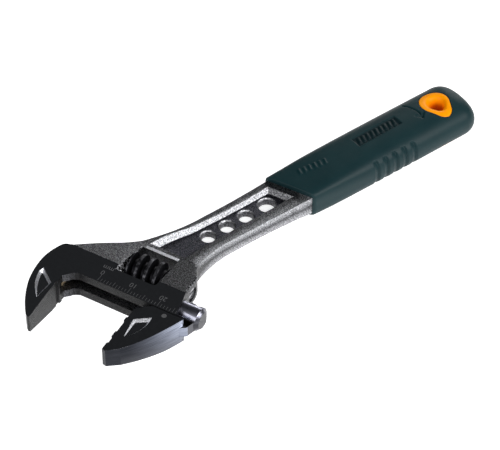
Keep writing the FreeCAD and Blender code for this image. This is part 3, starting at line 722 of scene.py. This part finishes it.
def etched_bar(corners, height):
    """Points and faces of a thin etched bar: four corners in the head frame, just above the polished face."""
    base = [head(a, b, HEAD_HALF - 0.05) for a, b in corners]
    top = [head(a, b, HEAD_HALF + height) for a, b in corners]
    points = [(point - ORIGIN) / MM for point in base + top]
    return points, [(3, 2, 1, 0), (4, 5, 6, 7), (0, 1, 5, 4), (1, 2, 6, 5), (2, 3, 7, 6), (3, 0, 4, 7)]


def etched_material():
    s = Shader("etched_mark")
    fine = s.noise(4200.0, 2.0)
    colour = s.mix(s.ramp(fine, 0.3, 0.7), grey(0.07), grey(0.12))
    s.bump(fine, 0.00002, 0.3)
    return s.finish(colour, s.ramp(fine, 0.3, 0.7, 0.5, 0.62), 0.4)


# The etched scale: the zero mark's place, the marks' near end, their spacing and half width.
SCALE_ZERO = -5.9
SCALE_EDGE = 20.75
SCALE_PITCH = 0.995
MARK_HALF = 0.055
ETCH_HEIGHT = 0.012
TEXT_HEIGHT = 1.75
TEXT_ROW = 24.1
UNIT_ROW = 26.3


def make_scale():
    """Etched jaw-opening scale: a mark for each millimetre, longer at each fifth and tenth."""
    etched = etched_material()
    points, faces = [], []
    for mark in range(27):
        b = SCALE_ZERO - mark * SCALE_PITCH
        reach = 2.3 if mark % 10 == 0 else 1.75 if mark % 5 == 0 else 1.15
        near, far = SCALE_EDGE, SCALE_EDGE + reach
        left, right = b - MARK_HALF, b + MARK_HALF
        corners = [(near, left), (far, left), (far, right), (near, right)]
        bar_points, bar_faces = etched_bar(corners, ETCH_HEIGHT)
        faces += [tuple(index + len(points) for index in face) for face in bar_faces]
        points += bar_points
    make_piece("scale_marks", [tuple(p) for p in points], faces, etched, "frame", False)
    place_text("scale_0", "0", TEXT_ROW, SCALE_ZERO + 0.3, etched)
    place_text("scale_10", "10", TEXT_ROW, SCALE_ZERO - 10.0, etched)
    place_text("scale_20", "20", TEXT_ROW, SCALE_ZERO - 20.0, etched)
    place_text("scale_unit", "mm", UNIT_ROW, SCALE_ZERO - 0.2, etched)
    make_pointer(etched)


def make_pointer(etched):
    """Round pointer dot on each side of the movable jaw."""
    sides = 24
    centre_a, centre_b, radius = 18.6, -29.5, 0.75
    for name, face in (("pointer_top", 1), ("pointer_bottom", -1)):
        low, high = sorted((face * (JAW_HALF - 0.05), face * (JAW_HALF + ETCH_HEIGHT)))
        points = []
        for z in (low, high):
            for step in range(sides):
                turn = 2 * math.pi * step / sides
                place = head(centre_a + radius * math.cos(turn), centre_b + radius * math.sin(turn), z)
                points.append(tuple((place - ORIGIN) / MM))
        faces = ring_faces(2, sides) + [tuple(range(sides - 1, -1, -1)), tuple(range(sides, 2 * sides))]
        make_piece(name, points, faces, etched, "jaw", False)


def place_text(name, words, a, b, material):
    """Etched characters centred at (a, b), read along b with their tops towards the jaws' tips."""
    curve = bpy.data.curves.new(name, "FONT")
    curve.body = words
    curve.size = TEXT_HEIGHT * MM * 1.35
    curve.align_x = "CENTER"
    curve.align_y = "CENTER"
    curve.extrude = 0.02 * MM
    flat = bpy.data.objects.new(name, curve)
    bpy.context.scene.collection.objects.link(flat)
    bpy.context.view_layer.update()
    mesh = bpy.data.meshes.new_from_object(flat.evaluated_get(bpy.context.evaluated_depsgraph_get()))
    bpy.data.objects.remove(flat)
    along = Vector(ALONG_B)
    upward = -Vector(ALONG_A)
    place = Matrix.Identity(4)
    for row in range(3):
        place[row][0] = along[row]
        place[row][1] = upward[row]
        place[row][3] = head(a, b, HEAD_HALF - 0.008)[row]
    mesh.transform(place)
    mesh.materials.clear()
    mesh.materials.append(material)
    obj = bpy.data.objects.new(name, mesh)
    bpy.context.scene.collection.objects.link(obj)
    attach(obj, "frame")


grip = make_grip()
cut_eyelet_hole(grip)
make_eyelet()
make_scale()


# ---------------------------------------------------------------- stage, light and camera


def make_floor():
    mesh = bpy.data.meshes.new("studio_floor")
    reach = 6.0
    level = CAD_BOX[0].z - 0.0002
    corners = [(-reach, -reach, level), (reach, -reach, level), (reach, reach, level), (-reach, reach, level)]
    mesh.from_pydata(corners, [], [(0, 1, 2, 3)])
    mesh.materials.append(floor_material())
    floor = bpy.data.objects.new("studio_floor", mesh)
    bpy.context.scene.collection.objects.link(floor)


def add_light(name, place, size, power):
    """Soft rectangular light, aimed at the origin."""
    light = bpy.data.lights.new(name, "AREA")
    light.shape = "RECTANGLE"
    light.size, light.size_y = size
    light.energy = power
    obj = bpy.data.objects.new(name, light)
    obj.location = place
    aim = -Vector(place)
    obj.rotation_mode = "QUATERNION"
    obj.rotation_quaternion = aim.to_track_quat("-Z", "Y")
    bpy.context.scene.collection.objects.link(obj)


def make_world():
    world = bpy.data.worlds.new("studio")
    world.use_nodes = True
    background = world.node_tree.nodes["Background"]
    background.inputs["Color"].default_value = (0.9, 0.95, 1.0, 1)
    background.inputs["Strength"].default_value = 0.03
    bpy.context.scene.world = world


def make_camera():
    """Long lens from the front left and above."""
    camera = bpy.data.cameras.new("camera")
    camera.lens = 176.4
    camera.sensor_width = 36.0
    camera.clip_start = 0.01
    camera.clip_end = 20.0
    obj = bpy.data.objects.new("camera", camera)
    distance = 0.716
    azimuth = math.radians(-37.3)
    elevation = math.radians(45.0)
    level = math.cos(elevation)
    back = Vector((math.sin(azimuth) * level, -math.cos(azimuth) * level, math.sin(elevation)))
    target = handle(70.246, -5.185, 3.32)
    obj.location = target + back * distance
    obj.rotation_mode = "QUATERNION"
    obj.rotation_quaternion = (-back).to_track_quat("-Z", "Y")
    bpy.context.scene.collection.objects.link(obj)
    bpy.context.scene.camera = obj


make_floor()
make_world()
make_camera()
add_light("key", (0.42, -0.9, 0.74), (0.9, 0.5), 13.0)
add_light("fill", (-1.0, -0.1, 0.65), (0.7, 0.5), 6.0)
add_light("top", (-0.35, -0.5, 1.2), (0.5, 0.5), 4.0)
add_light("back", (0.9, 0.6, 0.42), (0.5, 0.3), 3.0)

bpy.context.scene.view_settings.view_transform = "Standard"
